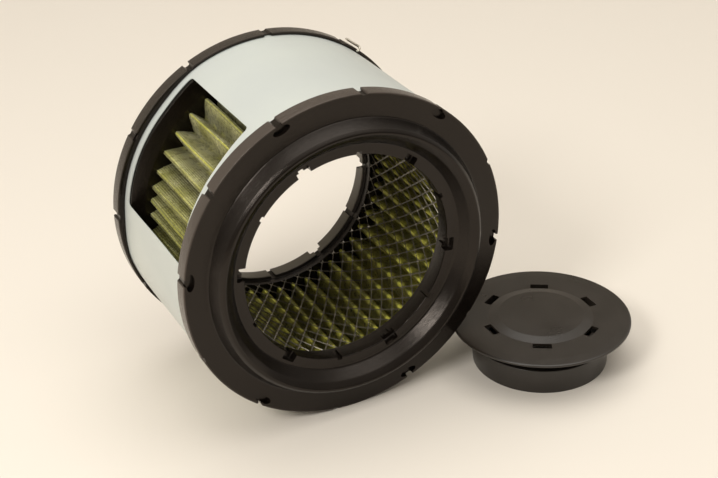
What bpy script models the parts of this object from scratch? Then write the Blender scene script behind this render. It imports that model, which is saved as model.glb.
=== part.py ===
"""Round pleated air filter element with a loose snap-together end cap.

The element lies on the rims of its two moulded end rings, its axis along Y
and its front ring towards -Y.  The cap lies flat beside it.  Metres, +Z up.
Every node is one closed solid, and touching pieces keep a small gap.
"""
import math

import bmesh
import bpy
from mathutils import Matrix, Vector

MM = 0.001

# ---- overall sizes of the element -----------------------------------------
RING_R = 100.0 * MM            # outer radius of both end rings
RING_SEGMENTS = 60             # facets round a ring, one of them flat on the floor
LENGTH = 116.0 * MM            # outer flat of the front ring to that of the rear ring
RIM_WIDTH = 9.1 * MM           # visible rim of each ring, along the axis
POTTING = 16.0 * MM            # full depth of the moulded ring inside the shell
BORE_R = 64.0 * MM             # lip round the bore
RECESS_R = 66.2 * MM           # wall behind the lip
BEAD_OUTER_R = 85.8 * MM       # outer foot of the raised sealing bead
BEAD_CREST_R = 80.0 * MM
BEAD_INNER_R = 70.8 * MM       # inner foot of the sealing bead
BEAD_HEIGHT = 9.9 * MM
EDGE = 0.8 * MM                # rounded edges of the moulding
GAP = 0.3 * MM                 # clearance between touching pieces

# ---- shell -----------------------------------------------------------------
SHELL_OUT_R = 97.8 * MM
SHELL_IN_R = 97.3 * MM
SHELL_SLOT_DEPTH = 4.6 * MM    # from the ring's flat face to the shell's seat
SHELL_SEGMENTS = 120
SAG = 2.4 * MM                 # how far the sheet is pressed in round its window
SAG_FROM = (math.radians(112.0), math.radians(136.0))  # where the sag sets in
SAG_TO = (math.radians(176.0), math.radians(197.0))    # and where it runs out
WINDOW_FROM = math.radians(119.2)
WINDOW_TO = math.radians(171.2)
WINDOW_Y0 = 18.6 * MM
WINDOW_Y1 = 101.2 * MM
WINDOW_CORNER = 2.6 * MM
WINDOW_BELOW = 5.0 * MM        # how far the window's cutter reaches past the sheet
WINDOW_ABOVE = 12.0 * MM

# ---- notches moulded into the rings ----------------------------------------
NOTCHES = 12
FRONT_NOTCH_PHASE = math.radians(-7.5)
REAR_NOTCH_PHASE = math.radians(-2.5)
RIM_SLOT_TOP = 4.8 * MM        # width of each rim slot at the rim's surface
RIM_SLOT_FOOT = 2.4 * MM       # and at its foot
RIM_SLOT_R = 98.6 * MM
RIM_BITE_R = 2.5 * MM          # half-round bite in the rim's back edge
RIM_POCKET_MID_R = 96.0 * MM
RIM_POCKET_LONG = 11.0 * MM    # oval pocket: length round the ring
RIM_POCKET_WIDE = 4.8 * MM
RIM_POCKET_DEPTH = 3.0 * MM
LIP_SLOT_W = 3.4 * MM
LIP_SLOT_R = 65.9 * MM
LIP_POCKET_W = 8.4 * MM
LIP_POCKET_R = 68.9 * MM
LIP_POCKET_DEPTH = 5.0 * MM

# ---- pleated pack ----------------------------------------------------------
PLEATS = 45
TIP_R = 84.8 * MM
FOLD_R = 67.7 * MM
SCREEN_STEP = 0.9 * MM         # radial step of each wire screen and each clearance
MEDIA_STEP = 2.0 * MM          # radial step of the gauze
PLEAT_PHASE = math.radians(-20.2)
PLEAT_DRIFT = math.radians(1.3)    # slow bunching of the pleats round the pack
DRIFT_PHASE = math.radians(60.0)
PLEAT_WANDER = math.radians(2.4)   # lean of the tips from side to side
PLEAT_WAVES = 6
WANDER_PHASE = -1.9
PACK_STEP = 4.0 * SCREEN_STEP + MEDIA_STEP  # radial depth of both screens and the gauze
SEAM_PLEAT = 42                # the pleat whose joint the seam clip closes
SEAM_LEG = 4.6 * MM
SEAM_THICK = 0.8 * MM
SEAM_CLEAR = 0.66 * MM

# ---- expanded metal cage ---------------------------------------------------
CAGE_OUT_R = 67.1 * MM
CAGE_IN_R = 66.4 * MM
CAGE_CELLS = 20                # open diamonds round the tube
CAGE_ROWS = 7                  # rows of crossings along it
CAGE_KNOT = 0.13               # half size of a crossing against half a cell

# ---- wire clip on the rear rim ---------------------------------------------
CLIP_WIRE_R = 0.8 * MM
# angle round the ring, distance along the axis, radius
CLIP_ROUTE = (
    (53.2, 100.6 * MM, 99.0 * MM),
    (53.0, 99.8 * MM, 100.3 * MM),
    (52.9, 100.4 * MM, 101.4 * MM),
    (52.9, 102.3 * MM, 101.9 * MM),
    (53.0, 106.5 * MM, 101.8 * MM),
    (53.3, 111.5 * MM, 101.7 * MM),
    (53.8, 116.0 * MM, 101.7 * MM),
)
CLIP_POINTS = 15

# ---- end cap ---------------------------------------------------------------
CAP_X = 124.6 * MM             # from the element's axis
CAP_Y = -10.5 * MM             # from the front ring's flat face
CAP_SEGMENTS = 48
CAP_R = 55.2 * MM
CAP_EDGE_Z = 28.3 * MM
CAP_DOME_R = 31.0 * MM
CAP_DOME_RISE = 1.5 * MM
CAP_WALL = 1.6 * MM
HUB_OUT_R = 39.0 * MM
HUB_IN_R = 37.2 * MM
COLLAR_R = 42.0 * MM
COLLAR_WALL = 2.4 * MM
COLLAR_H = 16.0 * MM
COLLAR_LEDGE = 2.2 * MM
CLIPS = 6
CLIP_PHASE = math.radians(-2.0)
SLOT_R = 34.6 * MM             # middle of each slot in the disc
SLOT_LONG = 11.4 * MM
SLOT_WIDE = 4.6 * MM
TAB_LONG = 9.0 * MM
TAB_THICK = 1.8 * MM
HOOK = 1.1 * MM                # how far each tab's hook stands out
TAB_INSET = 1.6 * MM           # from the tabs to the inner edge of the collar's ledge
GUSSET_OUT_R = 47.0 * MM       # ribs below the disc, outside the hub ring
GUSSET_THICK = 1.4 * MM
GUSSET_DROP = 7.0 * MM

# The row's origin is the middle of the footprint of the whole set.
AXIS_Z = RING_R * math.cos(math.pi / RING_SEGMENTS)
X_LOW = -AXIS_Z
X_HIGH = CAP_X + CAP_R
Y_LOW = CAP_Y - CAP_R
Y_HIGH = LENGTH + BEAD_HEIGHT
ORIGIN = Vector(((X_LOW + X_HIGH) / 2.0, (Y_LOW + Y_HIGH) / 2.0, -AXIS_Z))


def clear_objects():
    for obj in list(bpy.data.objects):
        bpy.data.objects.remove(obj)


def material(name, colour, roughness, metallic=0.0):
    mat = bpy.data.materials.new(name)
    mat.use_nodes = True
    shader = mat.node_tree.nodes["Principled BSDF"]
    shader.inputs["Base Color"].default_value = (*colour, 1.0)
    shader.inputs["Roughness"].default_value = roughness
    shader.inputs["Metallic"].default_value = metallic
    mat.diffuse_color = (*colour, 1.0)
    return mat


def new_object(name, mesh, mat=None):
    obj = bpy.data.objects.new(name, mesh)
    bpy.context.scene.collection.objects.link(obj)
    if mat is not None:
        mesh.materials.append(mat)
    return obj


def from_bmesh(name, bm, mat=None, smooth=False):
    bmesh.ops.recalc_face_normals(bm, faces=bm.faces)
    mesh = bpy.data.meshes.new(name)
    bm.to_mesh(mesh)
    bm.free()
    obj = new_object(name, mesh, mat)
    if smooth:
        mesh.shade_smooth()
        mesh.set_sharp_from_angle(angle=math.radians(35.0))
    return obj


def polar(radius, angle, y):
    """A point of the element: angle runs from +X towards +Z."""
    point = Vector((radius * math.cos(angle), y, radius * math.sin(angle)))
    return point - ORIGIN


def cap_point(x, y, z):
    """A point of the cap, z measured from the floor."""
    return Vector((CAP_X + x, CAP_Y + y, z - AXIS_Z)) - ORIGIN


def turned(name, profile, segments, matrix, mat, phase=0.0, closed=True):
    """Turn a profile of (radius, height) about the local Z axis."""
    mesh = bpy.data.meshes.new(name)
    points = [(r * math.cos(phase), r * math.sin(phase), z) for r, z in profile]
    count = len(points)
    edges = [(i, i + 1) for i in range(count - 1)]
    if closed:
        edges.append((count - 1, 0))
    mesh.from_pydata(points, edges, [])
    obj = new_object(name, mesh, mat)
    obj.matrix_world = matrix
    screw = obj.modifiers.new("turn", "SCREW")
    screw.steps = segments
    screw.render_steps = segments
    screw.use_merge_vertices = True
    screw.merge_threshold = 0.00001
    screw.use_smooth_shade = True
    return obj


def as_cutter(obj):
    obj.display_type = "WIRE"
    obj.hide_render = True
    return obj


def cut(obj, cutter):
    boolean = obj.modifiers.new("cut", "BOOLEAN")
    boolean.operation = "DIFFERENCE"
    boolean.solver = "EXACT"
    boolean.object = as_cutter(cutter)


def add_box(bm, matrix, low, high):
    """A box from low to high in the matrix's own axes."""
    low = Vector(low)
    high = Vector(high)
    size = Matrix.Diagonal(((high - low).to_4d()))
    size[3][3] = 1.0
    place = matrix @ Matrix.Translation((low + high) / 2.0) @ size
    bmesh.ops.create_cube(bm, size=1.0, matrix=place)


def add_prism(bm, frame, section, width):
    """A section in the frame's X and Z, as wide as asked along its Y."""
    sides = []
    for y in (-width / 2.0, width / 2.0):
        sides.append([bm.verts.new(frame @ Vector((x, y, z))) for x, z in section])
    front, rear = sides
    count = len(section)
    for index in range(count):
        after = (index + 1) % count
        bm.faces.new((front[index], front[after], rear[after], rear[index]))
    bm.faces.new(front)
    bm.faces.new(rear)


def radial_frame(angle, y, inward):
    """Axes at the element's axis: X along the radius, Z into the ring."""
    out = Vector((math.cos(angle), 0.0, math.sin(angle)))
    depth = Vector((0.0, inward, 0.0))
    side = depth.cross(out)
    frame = Matrix((out, side, depth)).transposed().to_4x4()
    frame.translation = polar(0.0, 0.0, y)
    return frame


# ---- end rings -------------------------------------------------------------
def ring_profile():
    """Section of a ring, height measured out of the element."""
    seat_in = SHELL_IN_R - SAG - GAP
    seat_out = SHELL_OUT_R + GAP
    shoulder = BEAD_CREST_R + (BEAD_OUTER_R - BEAD_CREST_R) * 0.55
    flank = BEAD_CREST_R - (BEAD_CREST_R - BEAD_INNER_R) * 0.42
    return [
        (RING_R, -EDGE),
        (RING_R, -RIM_WIDTH + EDGE / 2.0),
        (RING_R - EDGE / 2.0, -RIM_WIDTH),
        (seat_out, -RIM_WIDTH),
        (seat_out, -SHELL_SLOT_DEPTH),
        (seat_in, -SHELL_SLOT_DEPTH),
        (seat_in, -POTTING),
        (RECESS_R, -POTTING),
        (RECESS_R, -RIM_WIDTH),
        (BORE_R, -RIM_WIDTH + EDGE),
        (BORE_R, -EDGE),
        (BORE_R + EDGE, 0.0),
        (BEAD_INNER_R, 0.0),
        (flank, BEAD_HEIGHT * 0.62),
        (BEAD_CREST_R - EDGE, BEAD_HEIGHT * 0.95),
        (BEAD_CREST_R, BEAD_HEIGHT),
        (BEAD_CREST_R + EDGE * 1.5, BEAD_HEIGHT * 0.9),
        (shoulder, BEAD_HEIGHT * 0.56),
        (BEAD_OUTER_R, 0.0),
        (RING_R - EDGE, 0.0),
    ]


def add_rim_slot(bm, frame):
    """A shallow slot along the rim, wider at its mouth than at its foot."""
    over = 1.0 * MM
    slope = (RIM_SLOT_TOP - RIM_SLOT_FOOT) / (RING_R - RIM_SLOT_R)
    mouth = (RIM_SLOT_TOP + slope * over) / 2.0
    foot = RIM_SLOT_FOOT / 2.0
    section = [
        (RIM_SLOT_R, -foot), (RING_R + over, -mouth), (RING_R + over, mouth), (RIM_SLOT_R, foot)]
    along = Matrix.Translation((0.0, 0.0, RIM_WIDTH / 2.0)) @ Matrix.Rotation(math.pi / 2.0, 4, "X")
    add_prism(bm, frame @ along, section, RIM_WIDTH + 2.0 * over)


def slot_cutter(name, phase, y_face, inward):
    """All the slots of one ring, in its rim and in its lip."""
    bm = bmesh.new()
    over = 1.0 * MM
    for index in range(NOTCHES):
        angle = phase + index * math.tau / NOTCHES
        frame = radial_frame(angle, y_face, inward)
        add_rim_slot(bm, frame)
        half = LIP_SLOT_W / 2.0
        add_box(bm, frame, (BORE_R - over, -half, -over), (LIP_SLOT_R, half, RIM_WIDTH + over))
    return from_bmesh(name, bm)


def pocket_cutter(name, phase, y_face, inward):
    """Pockets at the even notches and bites in the rim's back edge at the odd ones."""
    bm = bmesh.new()
    over = 1.0 * MM
    middle = (RIM_POCKET_DEPTH - over) / 2.0
    oval = Matrix.Diagonal((RIM_POCKET_WIDE, RIM_POCKET_LONG, 1.0, 1.0))
    for index in range(NOTCHES):
        angle = phase + index * math.tau / NOTCHES
        frame = radial_frame(angle, y_face, inward)
        if index % 2:
            low = SHELL_OUT_R + GAP / 2.0
            high = RING_R + over
            place = frame @ Matrix.Translation(((low + high) / 2.0, 0.0, RIM_WIDTH))
            turn = Matrix.Rotation(math.pi / 2.0, 4, "Y")
            bmesh.ops.create_cone(
                bm, cap_ends=True, segments=12, radius1=RIM_BITE_R, radius2=RIM_BITE_R,
                depth=high - low, matrix=place @ turn)
            continue
        place = frame @ Matrix.Translation((RIM_POCKET_MID_R, 0.0, middle))
        bmesh.ops.create_cone(
            bm, cap_ends=True, segments=16, radius1=0.5, radius2=0.5,
            depth=RIM_POCKET_DEPTH + over, matrix=place @ oval)
        half = LIP_POCKET_W / 2.0
        add_box(bm, frame, (BORE_R - over, -half, -over), (LIP_POCKET_R, half, LIP_POCKET_DEPTH))
    return from_bmesh(name, bm)


def end_ring(name, y_face, inward, phase, mat):
    turn = Matrix.Rotation(inward * math.pi / 2.0, 4, "X")
    matrix = Matrix.Translation(polar(0.0, 0.0, y_face)) @ turn
    ring = turned(name, ring_profile(), RING_SEGMENTS, matrix, mat,
                  phase=math.pi / RING_SEGMENTS)
    cut(ring, slot_cutter(name + "_slots", phase, y_face, inward))
    cut(ring, pocket_cutter(name + "_pockets", phase, y_face, inward))
    return ring


# ---- shell -----------------------------------------------------------------
def window_cutter():
    """A wedge as wide as the window, with its four corners rounded."""
    bm = bmesh.new()
    inner = []
    outer = []
    corners = (
        (WINDOW_FROM, WINDOW_Y0, 1.0, 1.0), (WINDOW_TO, WINDOW_Y0, -1.0, 1.0),
        (WINDOW_TO, WINDOW_Y1, -1.0, -1.0), (WINDOW_FROM, WINDOW_Y1, 1.0, -1.0))
    corner_angle = WINDOW_CORNER / SHELL_OUT_R
    steps = 4
    outline = []
    for number, (angle, y, side, along) in enumerate(corners):
        for step in range(steps + 1):
            turn = math.pi / 2.0 * step / steps
            if number % 2 == 1:
                turn = math.pi / 2.0 - turn
            outline.append((
                angle + side * corner_angle * (1.0 - math.cos(turn)),
                y + along * WINDOW_CORNER * (1.0 - math.sin(turn))))
    for angle, y in outline:
        inner.append(bm.verts.new(polar(SHELL_IN_R - WINDOW_BELOW, angle, y)))
        outer.append(bm.verts.new(polar(SHELL_OUT_R + WINDOW_ABOVE, angle, y)))
    count = len(outline)
    for index in range(count):
        after = (index + 1) % count
        bm.faces.new((inner[index], inner[after], outer[after], outer[index]))
    bm.faces.new(inner)
    bm.faces.new(outer)
    bmesh.ops.triangulate(bm, faces=bm.faces)
    return from_bmesh("window_cutter", bm)


def eased(value, low, high):
    """0 below low, 1 above high and a smooth step between."""
    part = min(max((value - low) / (high - low), 0.0), 1.0)
    return part * part * (3.0 - 2.0 * part)


def sag(angle):
    """How far the sheet lies inside its full radius at an angle."""
    return SAG * eased(angle, *SAG_FROM) * (1.0 - eased(angle, *SAG_TO))


def outer_shell(mat):
    seat = SHELL_SLOT_DEPTH + GAP
    profile = [
        (SHELL_OUT_R, seat), (SHELL_OUT_R, LENGTH - seat),
        (SHELL_IN_R, LENGTH - seat), (SHELL_IN_R, seat)]
    bm = bmesh.new()
    rings = []
    for turn in range(SHELL_SEGMENTS):
        angle = math.tau * (turn + 0.5) / SHELL_SEGMENTS
        rings.append([bm.verts.new(polar(r - sag(angle), angle, y)) for r, y in profile])
    for turn in range(SHELL_SEGMENTS):
        here = rings[turn]
        there = rings[(turn + 1) % SHELL_SEGMENTS]
        for index in range(len(profile)):
            after = (index + 1) % len(profile)
            bm.faces.new((here[index], there[index], there[after], here[after]))
    shell = from_bmesh("outer_shell", bm, mat, smooth=True)
    cut(shell, window_cutter())
    return shell


# ---- pleated pack ----------------------------------------------------------
def fold_angle(index):
    even = PLEAT_PHASE + index * math.tau / PLEATS
    return even + PLEAT_DRIFT * (1.0 - math.cos(even + DRIFT_PHASE))


def tip_angle(index):
    even = fold_angle(index + 0.5)
    return even + PLEAT_WANDER * math.sin(PLEAT_WAVES * even + WANDER_PHASE)


def pleat_outline(offset, y):
    """One closed zigzag, offset inwards from the outermost surface."""
    points = []
    for index in range(PLEATS):
        points.append(polar(FOLD_R + PACK_STEP - offset, fold_angle(index), y))
        points.append(polar(TIP_R - offset, tip_angle(index), y))
    return points


def pleated(name, offset, thickness, mat):
    """A zigzag band between the potting of the two rings."""
    bm = bmesh.new()
    y_front = POTTING + GAP
    y_rear = LENGTH - POTTING - GAP
    loops = []
    for y in (y_front, y_rear):
        for depth in (offset, offset + thickness):
            loops.append([bm.verts.new(p) for p in pleat_outline(depth, y)])
    outer_front, inner_front, outer_rear, inner_rear = loops
    count = len(outer_front)
    for index in range(count):
        after = (index + 1) % count
        for a, b in ((outer_front, outer_rear), (outer_rear, inner_rear),
                     (inner_rear, inner_front), (inner_front, outer_front)):
            bm.faces.new((a[index], a[after], b[after], b[index]))
    return from_bmesh(name, bm, mat)


def seam_clip(mat):
    """A folded metal strip over the tip of the pleat where the pack is joined."""
    tip = tip_angle(SEAM_PLEAT)
    axis = Vector((math.cos(tip), 0.0, math.sin(tip)))
    side = Vector((-math.sin(tip), 0.0, math.cos(tip)))
    inner_top = TIP_R + SEAM_CLEAR
    outer_top = inner_top + SEAM_THICK
    low = inner_top - SEAM_LEG
    feet = []
    for fold in (fold_angle(SEAM_PLEAT), fold_angle(SEAM_PLEAT + 1)):
        fold_r = FOLD_R + PACK_STEP
        drop = TIP_R - fold_r * math.cos(fold - tip)
        feet.append(fold_r * math.sin(fold - tip) / drop * SEAM_LEG)
    wall = SEAM_THICK * 1.3
    inside = [(low, feet[0]), (inner_top, 0.0), (low, feet[1])]
    outside = [(low, feet[0] - wall), (outer_top, 0.0), (low, feet[1] + wall)]
    bm = bmesh.new()
    ends = []
    for y in (POTTING + GAP, LENGTH - POTTING - GAP):
        base = polar(0.0, 0.0, y)
        ends.append([
            [bm.verts.new(base + axis * r + side * t) for r, t in line]
            for line in (inside, outside)])
    (front_in, front_out), (rear_in, rear_out) = ends
    for index in range(2):
        for a, b in ((front_in, rear_in), (rear_in, rear_out),
                     (rear_out, front_out), (front_out, front_in)):
            bm.faces.new((a[index], a[index + 1], b[index + 1], b[index]))
    for index in (0, 2):
        bm.faces.new((front_in[index], front_out[index], rear_out[index], rear_in[index]))
    return from_bmesh("media_seam_clip", bm, mat)


# ---- expanded metal cage ---------------------------------------------------
def cage_knot(bm, column, row):
    """The four corners of one crossing, on both surfaces of the sheet."""
    half_cell = math.pi / CAGE_CELLS
    span = LENGTH - 2.0 * (POTTING + GAP)
    pitch = span / (CAGE_ROWS - 1 + 2.0 * CAGE_KNOT)
    y_first = POTTING + GAP + pitch * CAGE_KNOT
    angle = (2 * column + row % 2) * half_cell
    y = y_first + row * pitch
    corners = ((-1, 0), (0, -1), (1, 0), (0, 1))
    knot = []
    for radius in (CAGE_OUT_R, CAGE_IN_R):
        knot.append([
            bm.verts.new(polar(
                radius, angle + u * half_cell * CAGE_KNOT, y + v * pitch * CAGE_KNOT))
            for u, v in corners])
    return knot


def inner_cage(mat):
    """Open diamond mesh: a lattice of flat strands joined at the crossings."""
    bm = bmesh.new()
    knots = {}
    for row in range(CAGE_ROWS):
        for column in range(CAGE_CELLS):
            knots[column, row] = cage_knot(bm, column, row)
    left, low, right, high = range(4)
    for (column, row), knot in knots.items():
        for surface in knot:
            bm.faces.new(surface)
        if row + 1 < CAGE_ROWS:
            ahead = (column + row % 2) % CAGE_CELLS
            behind = (ahead - 1) % CAGE_CELLS
            for target, near, far in (
                    (ahead, (right, high), (low, left)),
                    (behind, (high, left), (right, low))):
                other = knots[target, row + 1]
                for surface, mate in zip(knot, other):
                    bm.faces.new((surface[near[0]], surface[near[1]],
                                  mate[far[1]], mate[far[0]]))
                for here, there in zip(near, far):
                    bm.faces.new((knot[0][here], other[0][there],
                                  other[1][there], knot[1][here]))
        else:
            for here, there in ((right, high), (high, left)):
                bm.faces.new((knot[0][here], knot[0][there],
                              knot[1][there], knot[1][here]))
        if row == 0:
            for here, there in ((left, low), (low, right)):
                bm.faces.new((knot[0][here], knot[0][there],
                              knot[1][there], knot[1][here]))
    return from_bmesh("inner_cage", bm, mat)


# ---- wire clip -------------------------------------------------------------
def blend_route(route, count):
    """Points along a smooth curve through the route."""
    last = len(route) - 1
    result = []
    for step in range(count):
        place = last * step / (count - 1)
        index = min(int(place), last - 1)
        part = place - index
        before = route[max(index - 1, 0)]
        start = route[index]
        end = route[index + 1]
        beyond = route[min(index + 2, last)]
        point = (start * 2.0 + (end - before) * part
                 + (before * 2.0 - start * 5.0 + end * 4.0 - beyond) * part ** 2
                 + (start * 3.0 - before - end * 3.0 + beyond) * part ** 3) / 2.0
        result.append(point)
    return result


def rim_wire_clip(mat):
    route = [polar(r, math.radians(a), y) for a, y, r in CLIP_ROUTE]
    points = blend_route(route, CLIP_POINTS)
    curve = bpy.data.curves.new("rim_wire_clip", "CURVE")
    curve.dimensions = "3D"
    spline = curve.splines.new("POLY")
    spline.points.add(len(points) - 1)
    for target, point in zip(spline.points, points):
        target.co = (*point, 1.0)
    curve.bevel_depth = CLIP_WIRE_R
    curve.bevel_resolution = 2
    curve.use_fill_caps = True
    curve.materials.append(mat)
    obj = bpy.data.objects.new("rim_wire_clip", curve)
    bpy.context.scene.collection.objects.link(obj)
    return obj


# ---- end cap ---------------------------------------------------------------
def cap_matrix():
    return Matrix.Translation(cap_point(0.0, 0.0, 0.0))


def cap_disc(mat):
    """Flange, shallow dome and the hub ring below it."""
    flange = CAP_EDGE_Z + 0.9 * MM
    dome = flange + CAP_DOME_RISE
    under = CAP_EDGE_Z - CAP_WALL / 2.0
    profile = [
        (0.0, dome + 0.5 * MM),
        (CAP_DOME_R * 0.55, dome + 0.2 * MM),
        (CAP_DOME_R - 1.5 * MM, dome - 0.4 * MM),
        (CAP_DOME_R + 1.5 * MM, flange),
        (CAP_R - 8.0 * MM, flange - 0.2 * MM),
        (CAP_R - EDGE, CAP_EDGE_Z + 0.2 * MM),
        (CAP_R, CAP_EDGE_Z - 0.3 * MM),
        (CAP_R - EDGE, under - 0.2 * MM),
        (HUB_OUT_R, under),
        (HUB_OUT_R, COLLAR_H + GAP),
        (HUB_IN_R, COLLAR_H + GAP),
        (HUB_IN_R, under),
        (CAP_DOME_R, under),
        (0.0, under + CAP_DOME_RISE),
    ]
    disc = turned("cap_disc", profile, CAP_SEGMENTS, cap_matrix(), mat, closed=False)
    cut(disc, disc_slot_cutter())
    join(disc, gussets(under))
    return disc


def clip_frame(index):
    angle = CLIP_PHASE + index * math.tau / CLIPS
    return cap_matrix() @ Matrix.Rotation(angle, 4, "Z")


def disc_slot_cutter():
    bm = bmesh.new()
    for index in range(CLIPS):
        add_box(bm, clip_frame(index),
                (SLOT_R - SLOT_WIDE / 2.0, -SLOT_LONG / 2.0, COLLAR_H + 4.0 * MM),
                (SLOT_R + SLOT_WIDE / 2.0, SLOT_LONG / 2.0, CAP_EDGE_Z + 8.0 * MM))
    return from_bmesh("disc_slot_cutter", bm)


def join(obj, other):
    union = obj.modifiers.new("join", "BOOLEAN")
    union.operation = "UNION"
    union.solver = "EXACT"
    union.object = as_cutter(other)


def gussets(under):
    """Six triangular ribs between the disc's underside and its hub ring."""
    bm = bmesh.new()
    bite = 0.4 * MM
    section = [
        (HUB_OUT_R - bite, under + bite), (GUSSET_OUT_R, under + bite),
        (GUSSET_OUT_R, under), (HUB_OUT_R - bite, under - GUSSET_DROP)]
    for index in range(CLIPS):
        add_prism(bm, clip_frame(index), section, GUSSET_THICK)
    return from_bmesh("disc_gussets", bm)


def add_tab(bm, frame):
    """One snap tab with its hook, as a prism across the tab's width."""
    foot = COLLAR_H - COLLAR_LEDGE * 0.5
    top = CAP_EDGE_Z + 0.3 * MM
    inner = SLOT_R - TAB_THICK
    outer = inner + TAB_THICK
    section = [
        (inner, foot), (outer, foot), (outer, top - 3.2 * MM),
        (outer + HOOK, top - 2.2 * MM), (outer, top), (inner, top)]
    add_prism(bm, frame, section, TAB_LONG)


def cap_collar(mat):
    """Ring that stands on the floor, with a ledge that carries the snap tabs."""
    inner = COLLAR_R - COLLAR_WALL
    ledge_in = SLOT_R - TAB_THICK - TAB_INSET
    profile = [
        (COLLAR_R, EDGE / 2.0),
        (COLLAR_R, COLLAR_H - EDGE / 2.0),
        (COLLAR_R - EDGE / 2.0, COLLAR_H),
        (ledge_in, COLLAR_H),
        (ledge_in, COLLAR_H - COLLAR_LEDGE),
        (inner, COLLAR_H - COLLAR_LEDGE),
        (inner, 0.0),
        (COLLAR_R - EDGE / 2.0, 0.0),
    ]
    collar = turned("cap_collar", profile[::-1], CAP_SEGMENTS, cap_matrix(), mat)
    bm = bmesh.new()
    for index in range(CLIPS):
        add_tab(bm, clip_frame(index))
    join(collar, from_bmesh("collar_tabs", bm))
    return collar


def build():
    clear_objects()
    moulding = material("ring_polyurethane", (0.018, 0.016, 0.014), 0.42)
    sheet = material("shell_sheet", (0.66, 0.74, 0.76), 0.45)
    gauze = material("filter_gauze", (0.42, 0.42, 0.10), 0.8)
    screen = material("screen_wire", (0.46, 0.46, 0.26), 0.5, 0.4)
    mesh = material("cage_metal", (0.20, 0.19, 0.17), 0.45, 0.6)
    strip = material("seam_strip", (0.55, 0.55, 0.53), 0.4, 0.9)
    wire = material("clip_wire", (0.78, 0.76, 0.70), 0.35, 0.7)
    cap_plastic = material("cap_plastic", (0.026, 0.024, 0.021), 0.32)

    end_ring("front_end_ring", 0.0, 1.0, FRONT_NOTCH_PHASE, moulding)
    end_ring("rear_end_ring", LENGTH, -1.0, REAR_NOTCH_PHASE, moulding)
    outer_shell(sheet)
    pleated("outer_wire_screen", 0.0, SCREEN_STEP, screen)
    pleated("pleated_media", 2.0 * SCREEN_STEP, MEDIA_STEP, gauze)
    pleated("inner_wire_screen", 3.0 * SCREEN_STEP + MEDIA_STEP, SCREEN_STEP, screen)
    seam_clip(strip)
    inner_cage(mesh)
    rim_wire_clip(wire)
    cap_disc(cap_plastic)
    cap_collar(cap_plastic)


build()
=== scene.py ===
"""Looks of a round pleated air filter element and its loose cap.

Lengths of the element are given in its own frame: radius and angle about its
axis (angle 0 towards +X, 90 degrees up) and distance y behind the flat face
of its front ring.  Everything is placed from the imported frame's boxes.
"""
import math

import bmesh
import bpy
from mathutils import Matrix, Vector


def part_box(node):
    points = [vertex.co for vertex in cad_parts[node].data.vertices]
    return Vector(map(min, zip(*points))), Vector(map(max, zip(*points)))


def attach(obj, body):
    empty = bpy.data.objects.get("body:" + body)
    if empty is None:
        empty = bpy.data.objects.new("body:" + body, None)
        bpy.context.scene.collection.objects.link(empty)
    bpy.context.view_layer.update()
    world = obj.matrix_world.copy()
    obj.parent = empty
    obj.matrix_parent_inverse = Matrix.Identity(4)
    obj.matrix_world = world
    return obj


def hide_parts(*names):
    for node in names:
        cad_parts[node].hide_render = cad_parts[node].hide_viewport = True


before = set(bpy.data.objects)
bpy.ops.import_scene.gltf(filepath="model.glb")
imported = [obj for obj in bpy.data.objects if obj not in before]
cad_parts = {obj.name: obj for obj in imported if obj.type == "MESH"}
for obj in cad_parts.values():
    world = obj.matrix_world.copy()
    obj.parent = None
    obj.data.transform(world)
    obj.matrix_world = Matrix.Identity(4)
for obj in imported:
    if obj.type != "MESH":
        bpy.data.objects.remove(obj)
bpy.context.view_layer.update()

MM = 0.001

# ---- the frame that everything is placed in -----------------------------------
RING_LOW, RING_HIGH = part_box("front_end_ring")
REAR_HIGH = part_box("rear_end_ring")[1]
COLLAR_LOW, COLLAR_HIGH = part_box("cap_collar")
DISC_LOW, DISC_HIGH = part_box("cap_disc")

BEAD_HEIGHT = 9.9 * MM
EDGE = 0.9 * MM                # rounding of a ring's edges at its flat face
RING_R = (RING_HIGH.z - RING_LOW.z) / 2.0
AXIS_X = (RING_LOW.x + RING_HIGH.x) / 2.0
AXIS_Z = (RING_LOW.z + RING_HIGH.z) / 2.0
FRONT_Y = RING_LOW.y + BEAD_HEIGHT
LENGTH = REAR_HIGH.y - BEAD_HEIGHT - FRONT_Y
CAP_AXIS = (COLLAR_LOW + COLLAR_HIGH) / 2.0
CAP_R = (DISC_HIGH.x - DISC_LOW.x) / 2.0

# ---- end rings ----------------------------------------------------------------
RING_SEGMENTS = 288
RIM_WIDTH = 9.1 * MM
FRONT_RIM_WIDTH = 9.8 * MM
POTTING_LOW = 14.0 * MM        # depth of the cast potting at the pleats' inner folds
POTTING_HIGH = 18.8 * MM       # and at their tips
POTTING_EDGE = 16.8 * MM       # and where it meets the sheet
RECESS_DEPTH = 14.5 * MM
LIP_WIDTH = 9.6 * MM
BORE_R = 64.0 * MM
RECESS_R = 66.3 * MM
BEAD_OUTER_R = 86.0 * MM
BEAD_CREST_R = 80.0 * MM
BEAD_INNER_R = 70.8 * MM
SEAT_OUT_R = 98.1 * MM
SEAT_IN_R = 96.9 * MM
SEAT_DEPTH = 4.6 * MM

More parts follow.
